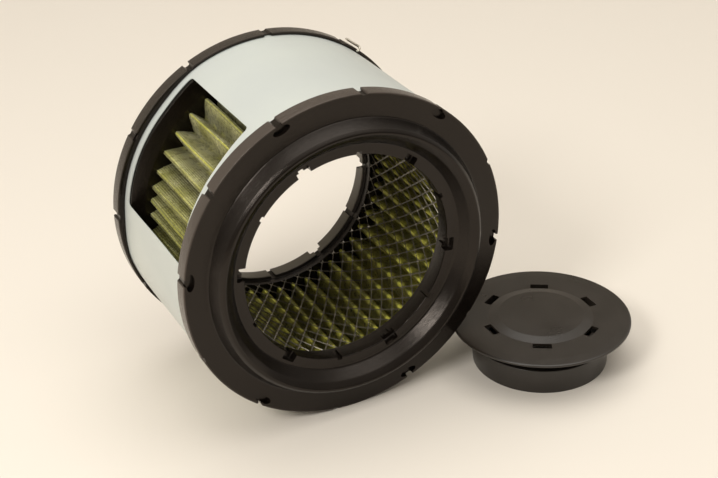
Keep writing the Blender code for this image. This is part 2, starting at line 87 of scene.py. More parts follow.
NOTCHES = 12
FRONT_NOTCH_PHASE = math.radians(-7.5)
REAR_NOTCH_PHASE = math.radians(-2.5)
RIM_SLOT_TOP = 4.8 * MM        # width of a rim slot at its mouth and at its foot
RIM_SLOT_FOOT = 2.4 * MM
RIM_SLOT_R = 98.6 * MM
RIM_BITE_R = 2.5 * MM          # half-round bite in the rim's back edge
RIM_POCKET_MID_R = 96.0 * MM
RIM_POCKET_LONG = 11.0 * MM
RIM_POCKET_WIDE = 4.8 * MM
RIM_POCKET_DEPTH = 3.0 * MM
LIP_SLOT_W = 3.2 * MM
LIP_SLOT_R = 65.8 * MM
LIP_POCKET_W = 8.4 * MM
LIP_POCKET_R = 68.8 * MM
LIP_POCKET_DEPTH = 5.0 * MM

# ---- shell --------------------------------------------------------------------
SHELL_OUT_R = 97.7 * MM
SHELL_THICK = 0.5 * MM
SAG = 2.4 * MM                 # how far the sheet is pressed in round its window
SAG_FROM = (112.0, 136.0)      # degrees over which the sag sets in
SAG_TO = (176.0, 197.0)        # and over which it runs out
WINDOW_FROM = math.radians(119.2)
WINDOW_TO = math.radians(171.2)
WINDOW_Y0 = (20.2 * MM, 17.2 * MM)     # front and rear edges, at its two ends
WINDOW_Y1 = (102.0 * MM, 101.0 * MM)
WINDOW_CORNER = 2.6 * MM

# ---- pleated pack -------------------------------------------------------------
PLEATS = 45
TIP_R = 83.7 * MM              # middle of the gauze at the tips and at the inner folds
FOLD_R = 69.2 * MM
FOLD_BEND = 1.1 * MM
GAUZE = 1.0 * MM
PLEAT_PHASE = math.radians(-20.2)
PLEAT_DRIFT = math.radians(1.3)
DRIFT_PHASE = math.radians(60.0)
PLEAT_WANDER = math.radians(2.4)
PLEAT_WAVES = 6
WANDER_PHASE = -1.9
PLEAT_ROWS = 10
SEAM_PLEAT = 42

WIRE_PITCH = 1.42 * MM
WIRE_R = 0.14 * MM

# ---- expanded metal cage ------------------------------------------------------
CAGE_R = 66.7 * MM
CAGE_CELLS = 45
CAGE_PITCH = 13.3 * MM
CAGE_PHASE = math.radians(3.8)
CAGE_FIRST = 13.3 * MM         # first row of joined strands behind the front flat
STRAND_W = 0.9 * MM
STRAND_T = 0.5 * MM
STRAND_TILT = math.radians(35.0)       # about the strand, the other way after each bond

# ---- wire clip: angle round the ring, distance along the axis, radius ----------
CLIP_WIRE_R = 0.75 * MM
CLIP_ROUTE = (
    (53.2, 100.6 * MM, 99.0 * MM),
    (53.0, 99.8 * MM, 100.3 * MM),
    (52.9, 100.4 * MM, 101.4 * MM),
    (52.9, 102.3 * MM, 101.9 * MM),
    (53.0, 106.5 * MM, 101.8 * MM),
    (53.3, 111.5 * MM, 101.7 * MM),
    (53.8, 116.0 * MM, 101.7 * MM),
)

# ---- cap ----------------------------------------------------------------------
CAP_SEGMENTS = 192
CAP_EDGE_Z = 28.3 * MM
CAP_WALL = 1.6 * MM
DOME_R = 31.0 * MM
DOME_RISE = 1.5 * MM
HUB_OUT_R = 39.0 * MM
HUB_IN_R = 37.2 * MM
COLLAR_R = (COLLAR_HIGH.x - COLLAR_LOW.x) / 2.0
COLLAR_WALL = 2.4 * MM
COLLAR_H = 16.0 * MM
CLIPS = 6
CLIP_PHASE = math.radians(-2.0)
SLOT_R = 34.6 * MM
SLOT_LONG = 11.4 * MM
SLOT_WIDE = 4.8 * MM
TAB_LONG = 8.8 * MM
TAB_THICK = 1.8 * MM

# ---- camera -------------------------------------------------------------------
CAMERA_AIM = Vector((7.7 * MM, 2.3 * MM, 9.9 * MM))   # from the axis at the front flat
CAMERA_DISTANCE = 0.826
CAMERA_AZIMUTH = math.radians(-26.4)
CAMERA_ELEVATION = math.radians(29.0)
CAMERA_ROLL = -0.0341
CAMERA_LENS = 73.2

# ---- light and room -----------------------------------------------------------
FLOOR_COLOUR = (0.78, 0.733, 0.665, 1.0)
ROOM_COLOUR = (1.0, 0.93, 0.83, 1.0)
ROOM_DIM = 0.16                # brightness of the room low in front of the object
ROOM_BRIGHT = 0.96             # and high behind it
WAVE_SPACING = math.tau / 20.0         # between the bands of a wave texture, at scale 1


# ---- geometry helpers -----------------------------------------------------------
def polar(radius, angle, y):
    """A point of the element."""
    return Vector((
        AXIS_X + radius * math.cos(angle), FRONT_Y + y, AXIS_Z + radius * math.sin(angle)))


def cap_polar(radius, angle, z):
    """A point of the cap, z above the floor."""
    return Vector((
        CAP_AXIS.x + radius * math.cos(angle), CAP_AXIS.y + radius * math.sin(angle), z))


def filleted(corners, steps=5, closed=True):
    """A polyline through corners (x, y, radius), each rounded by that radius."""
    result = []
    count = len(corners)
    for index, (x, y, radius) in enumerate(corners):
        corner = Vector((x, y))
        at_end = not closed and index in (0, count - 1)
        if radius <= 0.0 or at_end:
            result.append(corner)
            continue
        back = Vector(corners[index - 1][:2]) - corner
        ahead = Vector(corners[(index + 1) % count][:2]) - corner
        half = back.angle(ahead) / 2.0
        reach = min(radius / math.tan(half), back.length * 0.49, ahead.length * 0.49)
        start = corner + back.normalized() * reach
        end = corner + ahead.normalized() * reach
        for step in range(steps + 1):
            part = step / steps
            result.append(start.lerp(corner, part).lerp(corner.lerp(end, part), part))
    return result


def new_piece(name, mesh, material, body, replaced=(), sharp=None):
    """Adds a finished mesh to the scene as a named piece of the object."""
    mesh.name = name
    obj = bpy.data.objects.new(name, mesh)
    bpy.context.scene.collection.objects.link(obj)
    mesh.materials.clear()
    mesh.materials.append(material)
    mesh.shade_smooth()
    if sharp is not None:
        mesh.set_sharp_from_angle(angle=math.radians(sharp))
    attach(obj, body)
    if replaced:
        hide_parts(*replaced)
    return obj


def mesh_of(bm):
    bmesh.ops.recalc_face_normals(bm, faces=bm.faces)
    mesh = bpy.data.meshes.new("shape")
    bm.to_mesh(mesh)
    bm.free()
    return mesh


def lathe(profile, place, segments, closed=True):
    """Turns a profile of (radius, height); UVs run round it and along the profile."""
    bm = bmesh.new()
    uv = bm.loops.layers.uv.new("UVMap")
    length = [0.0]
    ring_count = len(profile)
    for index in range(ring_count):
        step = (profile[(index + 1) % ring_count] - profile[index]).length
        length.append(length[-1] + step)
    rings = []
    for radius, height in profile:
        if radius < 1e-7:
            rings.append([bm.verts.new(place(0.0, 0.0, height))] * segments)
            continue
        rings.append([
            bm.verts.new(place(radius, math.tau * turn / segments, height))
            for turn in range(segments)])
    spans = ring_count if closed else ring_count - 1
    for index in range(spans):
        near = rings[index]
        far = rings[(index + 1) % ring_count]
        for turn in range(segments):
            after = (turn + 1) % segments
            corners = [near[turn], near[after], far[after], far[turn]]
            marks = [(turn, index), (turn + 1, index), (turn + 1, index + 1), (turn, index + 1)]
            unique = []
            for vert, mark in zip(corners, marks):
                if vert not in [pair[0] for pair in unique]:
                    unique.append((vert, mark))
            face = bm.faces.new([vert for vert, mark in unique])
            for loop, (vert, (around, along)) in zip(face.loops, unique):
                loop[uv].uv = (around / segments, length[along] * 10.0)
    return mesh_of(bm)


def box_into(bm, matrix, low, high, bevel=0.0):
    """A box from low to high in the matrix's own axes, its edges rounded."""
    low = Vector(low)
    high = Vector(high)
    spread = Matrix.Diagonal((high - low).to_4d())
    spread[3][3] = 1.0
    place = matrix @ Matrix.Translation((low + high) / 2.0) @ spread
    made = bmesh.ops.create_cube(bm, size=1.0, matrix=place)
    if bevel > 0.0:
        edges = list({edge for vert in made["verts"] for edge in vert.link_edges})
        bmesh.ops.bevel(
            bm, geom=edges, offset=bevel, segments=3, profile=0.5, affect="EDGES",
            clamp_overlap=True)


def carved(mesh, cutters, operation="DIFFERENCE"):
    """The mesh with each cutter mesh taken away from it, or joined to it."""
    collection = bpy.context.scene.collection
    work = bpy.data.objects.new("work", mesh)
    collection.objects.link(work)
    tools = []
    for cutter in cutters:
        tool = bpy.data.objects.new("tool", cutter)
        collection.objects.link(tool)
        tools.append(tool)
        boolean = work.modifiers.new("carve", "BOOLEAN")
        boolean.operation = operation
        boolean.solver = "EXACT"
        boolean.object = tool
    bpy.context.view_layer.update()
    graph = bpy.context.evaluated_depsgraph_get()
    result = bpy.data.meshes.new_from_object(work.evaluated_get(graph))
    for obj in [work] + tools:
        bpy.data.objects.remove(obj)
    return result


def radial_frame(angle, y, inward):
    """Axes at the element's axis: X along the radius, Z into the ring."""
    out = Vector((math.cos(angle), 0.0, math.sin(angle)))
    depth = Vector((0.0, inward, 0.0))
    side = depth.cross(out)
    result = Matrix((out, side, depth)).transposed().to_4x4()
    result.translation = polar(0.0, 0.0, y)
    return result


# ---- material helpers -----------------------------------------------------------
class Nodes:
    """Short calls for the nodes of one material."""

    def __init__(self, name):
        self.material = bpy.data.materials.new(name)
        self.material.use_nodes = True
        self.tree = self.material.node_tree
        self.shader = self.tree.nodes["Principled BSDF"]
        self.coordinates = self.tree.nodes.new("ShaderNodeTexCoord")

    def set(self, **values):
        """Sets the shader's own sockets, named with _ for a space."""
        for key, value in values.items():
            self.shader.inputs[key.replace("_", " ")].default_value = value

    def link(self, source, target):
        self.tree.links.new(source, target)

    def mapped(self, scale, source="Object"):
        mapping = self.tree.nodes.new("ShaderNodeMapping")
        mapping.inputs["Scale"].default_value = scale
        self.link(self.coordinates.outputs[source], mapping.inputs["Vector"])
        return mapping.outputs["Vector"]

    def along(self):
        """Distance behind the front flat, in metres."""
        parts = self.tree.nodes.new("ShaderNodeSeparateXYZ")
        self.link(self.coordinates.outputs["Object"], parts.inputs["Vector"])
        return self.maths("SUBTRACT", parts.outputs["Y"], FRONT_Y)

    def radius(self):
        """Distance from the element's axis, in metres."""
        mapping = self.tree.nodes.new("ShaderNodeMapping")
        mapping.inputs["Location"].default_value = (-AXIS_X, 0.0, -AXIS_Z)
        mapping.inputs["Scale"].default_value = (1.0, 0.0, 1.0)
        self.link(self.coordinates.outputs["Object"], mapping.inputs["Vector"])
        length = self.tree.nodes.new("ShaderNodeVectorMath")
        length.operation = "LENGTH"
        self.link(mapping.outputs["Vector"], length.inputs[0])
        return length.outputs["Value"]

    def noise(self, scale, detail=3.0, roughness=0.5, vector=None):
        node = self.tree.nodes.new("ShaderNodeTexNoise")
        node.inputs["Scale"].default_value = scale
        node.inputs["Detail"].default_value = detail
        node.inputs["Roughness"].default_value = roughness
        self.link(vector or self.coordinates.outputs["Object"], node.inputs["Vector"])
        return node.outputs["Fac"]

    def bands(self, vector):
        """Soft bands across the vector's X, 0 at its zero."""
        node = self.tree.nodes.new("ShaderNodeTexWave")
        node.bands_direction = "X"
        node.inputs["Scale"].default_value = 1.0
        self.link(vector, node.inputs["Vector"])
        return node.outputs["Fac"]

    def maths(self, operation, first, second):
        node = self.tree.nodes.new("ShaderNodeMath")
        node.operation = operation
        for socket, value in zip(node.inputs, (first, second)):
            if isinstance(value, (int, float)):
                socket.default_value = value
            else:
                self.link(value, socket)
        return node.outputs["Value"]

    def spread(self, source, low, high, to_low, to_high):
        """Maps a range of the source to another range."""
        node = self.tree.nodes.new("ShaderNodeMapRange")
        node.inputs["From Min"].default_value = low
        node.inputs["From Max"].default_value = high
        node.inputs["To Min"].default_value = to_low
        node.inputs["To Max"].default_value = to_high
        self.link(source, node.inputs["Value"])
        return node.outputs["Result"]

    def blend(self, factor, first, second):
        """A colour between two, by a factor."""
        node = self.tree.nodes.new("ShaderNodeMix")
        node.data_type = "RGBA"
        self.link(factor, node.inputs["Factor"])
        for socket, value in zip((node.inputs["A"], node.inputs["B"]), (first, second)):
            if isinstance(value, tuple):
                socket.default_value = (*value, 1.0)
            else:
                self.link(value, socket)
        return node.outputs["Result"]

    def bump(self, height, distance, strength, normal=None):
        node = self.tree.nodes.new("ShaderNodeBump")
        node.inputs["Distance"].default_value = distance
        node.inputs["Strength"].default_value = strength
        self.link(height, node.inputs["Height"])
        if normal is not None:
            self.link(normal, node.inputs["Normal"])
        return node.outputs["Normal"]

    def colour(self, socket):
        self.link(socket, self.shader.inputs["Base Color"])

    def roughness(self, socket):
        self.link(socket, self.shader.inputs["Roughness"])

    def normal(self, socket):
        self.link(socket, self.shader.inputs["Normal"])


def ring_material():
    """Dark satin polyurethane, marked round about; paler at the rims, partly dust and partly painted sheen,
    with a painted reflection on the rear lip.
    """
    n = Nodes("moulded_polyurethane")
    around = n.mapped((90.0, 700.0, 1.0), "UV")
    marks = n.noise(1.0, 4.0, 0.6, around)
    cloud = n.noise(28.0, 4.0)
    grain = n.noise(1500.0, 2.0)
    tone = n.spread(cloud, 0.35, 0.7, 0.0, 1.0)
    radius = n.radius()
    rim = n.spread(radius, 98.8 * MM, 99.7 * MM, 0.0, 1.0)
    lip = n.spread(radius, 64.8 * MM, 64.2 * MM, 0.0, 1.0)
    rear = n.spread(n.along(), 0.4 * LENGTH, 0.6 * LENGTH, 0.0, 1.0)
    # Rims paler, partly dust and partly painted sheen, patchy by the marks; the front rim is painted
    # lighter than the rear.
    rim_dust_and_sheen_patches = n.spread(marks, 0.25, 0.6, 0.6, 1.0)
    clean = n.blend(tone, (0.0034, 0.0023, 0.0016), (0.0066, 0.0048, 0.0036))
    rim_dust_and_sheen = n.blend(rear, (0.075, 0.062, 0.053), (0.040, 0.034, 0.028))
    with_rim_dust_and_sheen = n.blend(n.maths("MULTIPLY", rim, rim_dust_and_sheen_patches), clean, rim_dust_and_sheen)
    # Painted reflection: the rear ring's bore wall is made paler, as if catching the bright room at a
    # grazing angle.
    n.colour(n.blend(n.maths("MULTIPLY", lip, rear), with_rim_dust_and_sheen, (0.095, 0.085, 0.068)))
    patch = n.spread(cloud, 0.3, 0.7, 0.16, 0.25)
    n.roughness(n.maths("ADD", n.spread(marks, 0.3, 0.7, -0.05, 0.06), patch))
    fine = n.bump(grain, 0.00006, 0.35)
    n.normal(n.bump(marks, 0.00012, 0.5, fine))
    n.set(Specular_IOR_Level=0.33, Specular_Tint=(1.0, 0.89, 0.81, 1.0))
    return n.material


def sheet_material():
    """Pale blue-white sheet with a smooth, slightly uneven gloss."""
    n = Nodes("shell_sheet")
    cloud = n.noise(14.0, 4.0)
    stretched = n.noise(1.0, 3.0, 0.5, n.mapped((60.0, 18.0, 60.0)))
    grain = n.noise(900.0, 2.0)
    scuff = n.spread(n.noise(1.0, 6.0, 0.7, n.mapped((35.0, 240.0, 35.0))), 0.66, 0.78, 0.0, 0.35)
    base = n.blend(n.spread(cloud, 0.3, 0.7, 0.0, 1.0), (0.510, 0.545, 0.530), (0.555, 0.590, 0.556))
    n.colour(n.blend(scuff, base, (0.38, 0.41, 0.40)))
    n.roughness(n.spread(stretched, 0.3, 0.7, 0.34, 0.46))
    fine = n.bump(grain, 0.00003, 0.3)
    n.normal(n.bump(stretched, 0.0006, 0.35, fine))
    return n.material


def gauze_material():
    """Oiled yellow-green gauze with a dark rib between wires, and painted shade that is deepest inside the
    folds.

    The inner folds carry a painted highlight where they stand in an opening of the cage.
    """
    n = Nodes("filter_gauze")
    ribs = n.bands(n.mapped((WAVE_SPACING / WIRE_PITCH, 60.0, 1.0), "UV"))
    oil = n.noise(60.0, 5.0, 0.6)
    fuzz = n.noise(1600.0, 3.0)
    wet = n.blend(n.spread(oil, 0.32, 0.68, 0.0, 1.0), (0.300, 0.295, 0.026), (0.600, 0.590, 0.070))
    ribbed = n.blend(n.spread(ribs, 0.2, 0.7, 0.0, 0.85), wet, (0.050, 0.048, 0.005))
    radius = n.radius()
    inner = n.spread(radius, FOLD_R + 0.6 * MM, FOLD_R + 4.4 * MM, 1.0, 0.0)
    outer = n.spread(radius, TIP_R - 9.0 * MM, TIP_R - 2.0 * MM, 0.0, 1.0)
    behind_opening = n.maths("SUBTRACT", n.along(), CAGE_FIRST + CAGE_PITCH / 2.0)
    turn = n.maths("MULTIPLY", behind_opening, math.tau / CAGE_PITCH)
    opening = n.spread(n.maths("COSINE", turn, 0.0), -0.2, 0.6, 0.12, 1.0)
    # Painted shade: the gauze is darkened towards the inner folds, between the pleats.
    shaded = n.blend(outer, (0.048, 0.045, 0.006), ribbed)
    # Painted highlight: the inner folds are lit pale where a cage opening stands in front of them.
    n.colour(n.blend(n.maths("MULTIPLY", inner, opening), shaded, (0.800, 0.780, 0.110)))
    n.roughness(n.spread(oil, 0.3, 0.7, 0.42, 0.72))
    fine = n.bump(fuzz, 0.0002, 0.6)
    n.normal(n.bump(ribs, 0.0003, 0.7, fine))
    n.set(Sheen_Weight=0.10, Sheen_Roughness=0.5)
    return n.material


def screen_material(name, dark, light, metallic):
    """Fine coated wire that has taken on the oil's tint."""
    n = Nodes(name)
    tint = n.noise(55.0, 4.0)
    n.colour(n.blend(n.spread(tint, 0.3, 0.7, 0.0, 1.0), dark, light))
    n.roughness(n.spread(n.noise(400.0, 2.0), 0.3, 0.7, 0.22, 0.38))
    n.set(Metallic=metallic)
    return n.material


def cage_material():
    """Dull dark expanded metal with abraded, lighter patches."""
    n = Nodes("cage_metal")
    patch = n.noise(90.0, 4.0)
    n.colour(n.blend(n.spread(patch, 0.35, 0.7, 0.0, 1.0), (0.16, 0.145, 0.12), (0.34, 0.31, 0.26)))
    n.roughness(n.spread(patch, 0.3, 0.7, 0.34, 0.22))
    n.normal(n.bump(n.noise(2200.0, 2.0), 0.00008, 0.5))
    n.set(Metallic=0.6)
    return n.material


def bright_metal(name, dark, light):
    n = Nodes(name)
    patch = n.noise(220.0, 3.0)
    drawn = n.noise(1.0, 3.0, 0.6, n.mapped((2400.0, 260.0, 2400.0)))
    n.colour(n.blend(n.spread(patch, 0.3, 0.7, 0.0, 1.0), dark, light))
    n.roughness(n.spread(drawn, 0.3, 0.7, 0.22, 0.40))
    n.normal(n.bump(drawn, 0.00005, 0.4))
    n.set(Metallic=1.0)
    return n.material


def cap_material():
    """Satin injection-moulded plastic with a fine spark-eroded grain."""
    n = Nodes("cap_plastic")
    cloud = n.noise(40.0, 4.0)
    grain = n.noise(2100.0, 3.0, 0.6)
    tone = n.spread(cloud, 0.3, 0.7, 0.0, 1.0)
    n.colour(n.blend(tone, (0.0140, 0.0108, 0.0080), (0.0215, 0.0168, 0.0128)))
    n.roughness(n.spread(cloud, 0.3, 0.7, 0.27, 0.36))
    n.normal(n.bump(grain, 0.00007, 0.5))
    n.set(Specular_IOR_Level=0.55)
    return n.material


# ---- end rings ------------------------------------------------------------------
def ring_profile(width):
    """Section of a ring, height measured out of the element, corners rounded."""
    r = RING_R
    corners = [
        (r, 0.0, EDGE),
        (r, -width, 0.5 * MM),
        (SEAT_OUT_R, -width, 0.3 * MM),
        (SEAT_OUT_R, -SEAT_DEPTH, 0.0),
        (SEAT_IN_R, -SEAT_DEPTH, 0.0),
        (SEAT_IN_R, -POTTING_EDGE, 0.25 * MM),
        (TIP_R + 2.0 * MM, -POTTING_HIGH, 4.0 * MM),
        (FOLD_R - 0.6 * MM, -POTTING_LOW, 1.0 * MM),
        (RECESS_R + 1.2 * MM, -POTTING_LOW, 0.0),
        (RECESS_R + 1.2 * MM, -RECESS_DEPTH, 0.0),
        (RECESS_R, -RECESS_DEPTH, 0.6 * MM),
        (RECESS_R, -LIP_WIDTH, 0.6 * MM),
        (BORE_R, -LIP_WIDTH + 0.6 * MM, 0.6 * MM),
        (BORE_R, 0.0, EDGE),
        (BEAD_INNER_R, 0.0, 2.2 * MM),
        (BEAD_CREST_R - 4.2 * MM, BEAD_HEIGHT * 0.70, 5.0 * MM),
        (BEAD_CREST_R, BEAD_HEIGHT * 1.04, 2.6 * MM),
        (BEAD_CREST_R + 2.4 * MM, BEAD_HEIGHT * 0.80, 2.0 * MM),
        (BEAD_OUTER_R, 0.0, 1.4 * MM),
        (r - 4.2 * MM, 0.0, 0.0),
    ]
    return filleted(corners, steps=6)


def rim_slot(bm, axes):
    """A shallow slot along the rim, flared towards its mouth."""
    over = 1.0 * MM
    slope = (RIM_SLOT_TOP - RIM_SLOT_FOOT) / (RING_R - RIM_SLOT_R)
    mouth = (RIM_SLOT_TOP + slope * over) / 2.0
    foot = RIM_SLOT_FOOT / 2.0
    section = filleted([
        (RIM_SLOT_R, -foot, 0.6 * MM), (RING_R + over, -mouth, 0.0),
        (RING_R + over, mouth, 0.0), (RIM_SLOT_R, foot, 0.6 * MM)], steps=4)
    turn = Matrix.Rotation(math.pi / 2.0, 4, "X")
    along = Matrix.Translation((0.0, 0.0, RIM_WIDTH / 2.0)) @ turn
    prism_into(bm, axes @ along, section, RIM_WIDTH + 2.0 * over)


def ring_cutters(phase, y_face, inward):
    """Slots in the rim and the lip; pockets at the even ones, bites at the odd ones."""
    over = 1.0 * MM
    middle = (RIM_POCKET_DEPTH - over) / 2.0
    oval = Matrix.Diagonal((RIM_POCKET_WIDE, RIM_POCKET_LONG, 1.0, 1.0))
    slots = bmesh.new()
    pockets = bmesh.new()
    mouths = bmesh.new()
    for index in range(NOTCHES):
        axes = radial_frame(phase + index * math.tau / NOTCHES, y_face, inward)
        rim_slot(slots, axes)
        half = LIP_SLOT_W / 2.0
        box_into(slots, axes, (BORE_R - over, -half, -over), (LIP_SLOT_R, half, RIM_WIDTH + over), 0.4 * MM)
        if index % 2:
            low = SEAT_OUT_R - 0.1 * MM
            high = RING_R + over
            place = axes @ Matrix.Translation(((low + high) / 2.0, 0.0, RIM_WIDTH))
            bmesh.ops.create_cone(
                pockets, cap_ends=True, segments=28, radius1=RIM_BITE_R, radius2=RIM_BITE_R,
                depth=high - low, matrix=place @ Matrix.Rotation(math.pi / 2.0, 4, "Y"))
            continue
        place = axes @ Matrix.Translation((RIM_POCKET_MID_R, 0.0, middle))
        bmesh.ops.create_cone(
            pockets, cap_ends=True, segments=32, radius1=0.5, radius2=0.45,
            depth=RIM_POCKET_DEPTH + over, matrix=place @ oval)
        half = RIM_SLOT_FOOT * 0.8
        box_into(mouths, axes, (RIM_POCKET_MID_R, -half, -over),
                 (RING_R + over, half, RIM_POCKET_DEPTH - 0.3 * MM))
        half = LIP_POCKET_W / 2.0
        box_into(pockets, axes, (BORE_R - over, -half, -over),
                 (LIP_POCKET_R, half, LIP_POCKET_DEPTH), 0.9 * MM)
    return mesh_of(slots), mesh_of(pockets), mesh_of(mouths)


def end_ring(name, node, y_face, inward, phase, width, material):
    def place(radius, angle, height):
        """The walls cast against the sheet follow it where it is pressed in."""
        if SEAT_IN_R - EDGE < radius < SEAT_OUT_R + 0.5 * MM and height < -EDGE:
            radius -= sag(angle)
        return polar(radius, angle, y_face - inward * height)

    mesh = lathe(ring_profile(width), place, RING_SEGMENTS)
    mesh = carved(mesh, ring_cutters(phase, y_face, inward))
    return new_piece(name, mesh, material, "element", (node,), sharp=32.0)


# ---- shell ----------------------------------------------------------------------
def window_cutter():
    """A wedge as wide as the window, with its four corners rounded."""
    corner = WINDOW_CORNER / SHELL_OUT_R
    outline = []
    steps = 6
    corners = (
        (WINDOW_FROM, WINDOW_Y0[0], 1.0, 1.0), (WINDOW_TO, WINDOW_Y0[1], -1.0, 1.0),
        (WINDOW_TO, WINDOW_Y1[1], -1.0, -1.0), (WINDOW_FROM, WINDOW_Y1[0], 1.0, -1.0))
    for number, (angle, y, side, along) in enumerate(corners):
        for step in range(steps + 1):
            turn = math.pi / 2.0 * step / steps
            if number % 2 == 1:
                turn = math.pi / 2.0 - turn
            outline.append((
                angle + side * corner * (1.0 - math.cos(turn)),
                y + along * WINDOW_CORNER * (1.0 - math.sin(turn))))
    bm = bmesh.new()
    inner = [bm.verts.new(polar(SHELL_OUT_R - 6.0 * MM, angle, y)) for angle, y in outline]
    outer = [bm.verts.new(polar(SHELL_OUT_R + 14.0 * MM, angle, y)) for angle, y in outline]
    count = len(outline)
    for index in range(count):
        after = (index + 1) % count
        bm.faces.new((inner[index], inner[after], outer[after], outer[index]))
    bm.faces.new(inner)
    bm.faces.new(outer)
    bmesh.ops.triangulate(bm, faces=bm.faces)
    return mesh_of(bm)


def eased(value, low, high):
    """0 below low, 1 above high and a smooth step between."""
    part = min(max((value - low) / (high - low), 0.0), 1.0)
    return part * part * (3.0 - 2.0 * part)


def sag(angle):
    """How far the sheet is pressed in at an angle."""
    degrees = math.degrees(angle)
    return SAG * eased(degrees, *SAG_FROM) * (1.0 - eased(degrees, *SAG_TO))


def sagged(radius, angle, y):
    """A point of the sheet."""
    return polar(radius - sag(angle), angle, y)


def outer_shell(material):
    """Thin sheet from ring to ring, with faint swells along it."""
    seat = SEAT_DEPTH + 0.2 * MM
    rows = 13
    outside = []
    inside = []
    for row in range(rows):
        part = row / (rows - 1)
        y = seat + (LENGTH - 2.0 * seat) * part
        swell = 0.10 * MM * math.sin(part * 9.0 + 0.6)
        outside.append(Vector((SHELL_OUT_R + swell, y)))
        inside.append(Vector((SHELL_OUT_R + swell - SHELL_THICK, y)))
    mesh = lathe(outside + inside[::-1], sagged, RING_SEGMENTS)
    mesh = carved(mesh, [window_cutter()])
    return new_piece("shell", mesh, material, "element", ("outer_shell",), sharp=40.0)


# ---- pleated pack ---------------------------------------------------------------
def fold_angle(index):
    even = PLEAT_PHASE + index * math.tau / PLEATS
    return even + PLEAT_DRIFT * (1.0 - math.cos(even + DRIFT_PHASE))


def tip_angle(index):
    even = fold_angle(index + 0.5)
    return even + PLEAT_WANDER * math.sin(PLEAT_WAVES * even + WANDER_PHASE)


def pleat_line(part):
    """The gauze's middle line, as (x, z) about the axis, at a part of its length."""
    corners = []
    for index in range(PLEATS):
        sway = math.radians(0.22) * math.sin(5.0 * part + 1.9 * index)
        rise = 0.25 * MM * math.sin(4.0 * part + 2.7 * index)
        inner = fold_angle(index) + math.radians(0.12) * math.sin(6.0 * part + 2.3 * index)
        outer = tip_angle(index) + sway
        corners.append((FOLD_R * math.cos(inner), FOLD_R * math.sin(inner), FOLD_BEND))
        radius = TIP_R + rise
        corners.append((radius * math.cos(outer), radius * math.sin(outer), FOLD_BEND * 0.8))
    return filleted(corners, steps=3)


def line_normals(line):
    """Unit normals that point away from the axis side of the line."""
    normals = []
    count = len(line)
    for index in range(count):
        along = line[(index + 1) % count] - line[index - 1]
        normals.append(Vector((along.y, -along.x)).normalized())
    return normals


class Pack:
    """The pleated surface: points at (place along the line, row)."""

    def __init__(self, y_front, y_rear):
        self.y = [y_front + (y_rear - y_front) * row / (PLEAT_ROWS - 1) for row in range(PLEAT_ROWS)]
        self.lines = [pleat_line(row / (PLEAT_ROWS - 1)) for row in range(PLEAT_ROWS)]
        self.normals = [line_normals(line) for line in self.lines]
        self.count = len(self.lines[0])
        middle = self.lines[PLEAT_ROWS // 2]
        self.lengths = [0.0]
        for index in range(self.count):
            step = (middle[(index + 1) % self.count] - middle[index]).length
            self.lengths.append(self.lengths[-1] + step)

    def at(self, place, row, offset):
        """Point and normal at a fractional place along a row's line."""
        index = int(place) % self.count
        after = (index + 1) % self.count
        part = place - int(place)
        flat = self.lines[row][index].lerp(self.lines[row][after], part)
        normal = self.normals[row][index].lerp(self.normals[row][after], part).normalized()
        flat = flat + normal * offset
        point = Vector((AXIS_X + flat.x, FRONT_Y + self.y[row], AXIS_Z + flat.y))
        return point, Vector((normal.x, 0.0, normal.y))

    def between(self, place, y, offset):
        """The same at any y."""
        share = (y - self.y[0]) / (self.y[-1] - self.y[0]) * (PLEAT_ROWS - 1)
        row = min(int(share), PLEAT_ROWS - 2)
        low, normal_low = self.at(place, row, offset)
        high, normal_high = self.at(place, row + 1, offset)
        part = share - row
        return low.lerp(high, part), normal_low.lerp(normal_high, part).normalized()

    def places(self, pitch):
        """Places along the line at an even spacing."""
        total = self.lengths[-1]
        number = round(total / pitch)
        result = []
        index = 0
        for step in range(number):
            target = total * step / number
            while self.lengths[index + 1] <= target:
                index += 1
            span = self.lengths[index + 1] - self.lengths[index]
            result.append(index + (target - self.lengths[index]) / span)
        return result


def gauze(pack, material):
    bm = bmesh.new()
    uv = bm.loops.layers.uv.new("UVMap")
    sides = []
    for offset in (GAUZE / 2.0, -GAUZE / 2.0):
        sides.append([
            [bm.verts.new(pack.at(place, row, offset)[0]) for place in range(pack.count)]
            for row in range(PLEAT_ROWS)])

    def quad(verts, marks):
        face = bm.faces.new(verts)
        for loop, mark in zip(face.loops, marks):
            loop[uv].uv = mark

    for grid in sides:
        for row in range(PLEAT_ROWS - 1):
            for place in range(pack.count):
                after = (place + 1) % pack.count
                u0, u1 = pack.lengths[place], pack.lengths[place + 1]
                v0, v1 = pack.y[row], pack.y[row + 1]
                quad((grid[row][place], grid[row][after], grid[row + 1][after], grid[row + 1][place]),
                     ((u0, v0), (u1, v0), (u1, v1), (u0, v1)))
    outer, inner = sides
    for row in (0, PLEAT_ROWS - 1):
        for place in range(pack.count):
            after = (place + 1) % pack.count
            mark = (pack.lengths[place], pack.y[row])
            rim = (outer[row][place], outer[row][after], inner[row][after], inner[row][place])
            quad(rim, (mark,) * 4)
    return new_piece("gauze", mesh_of(bm), material, "element",
                     ("pleated_media",), sharp=50.0)


def tube_into(verts, faces, centres, firsts, seconds, radius, sides=3, closed=False):
    """Adds a thin tube through centres, with two axes across it at each."""
    start = len(verts)
    for centre, first, second in zip(centres, firsts, seconds):
        for side in range(sides):
            turn = math.tau * side / sides
            verts.append(centre + (first * math.cos(turn) + second * math.sin(turn)) * radius)
    count = len(centres)
    spans = count if closed else count - 1
    for index in range(spans):
        here = start + index * sides
        there = start + ((index + 1) % count) * sides
        for side in range(sides):
            after = (side + 1) % sides
            faces.append((here + side, here + after, there + after, there + side))
    if not closed:
        faces.append(tuple(start + side for side in range(sides))[::-1])
        faces.append(tuple(start + (count - 1) * sides + side for side in range(sides)))


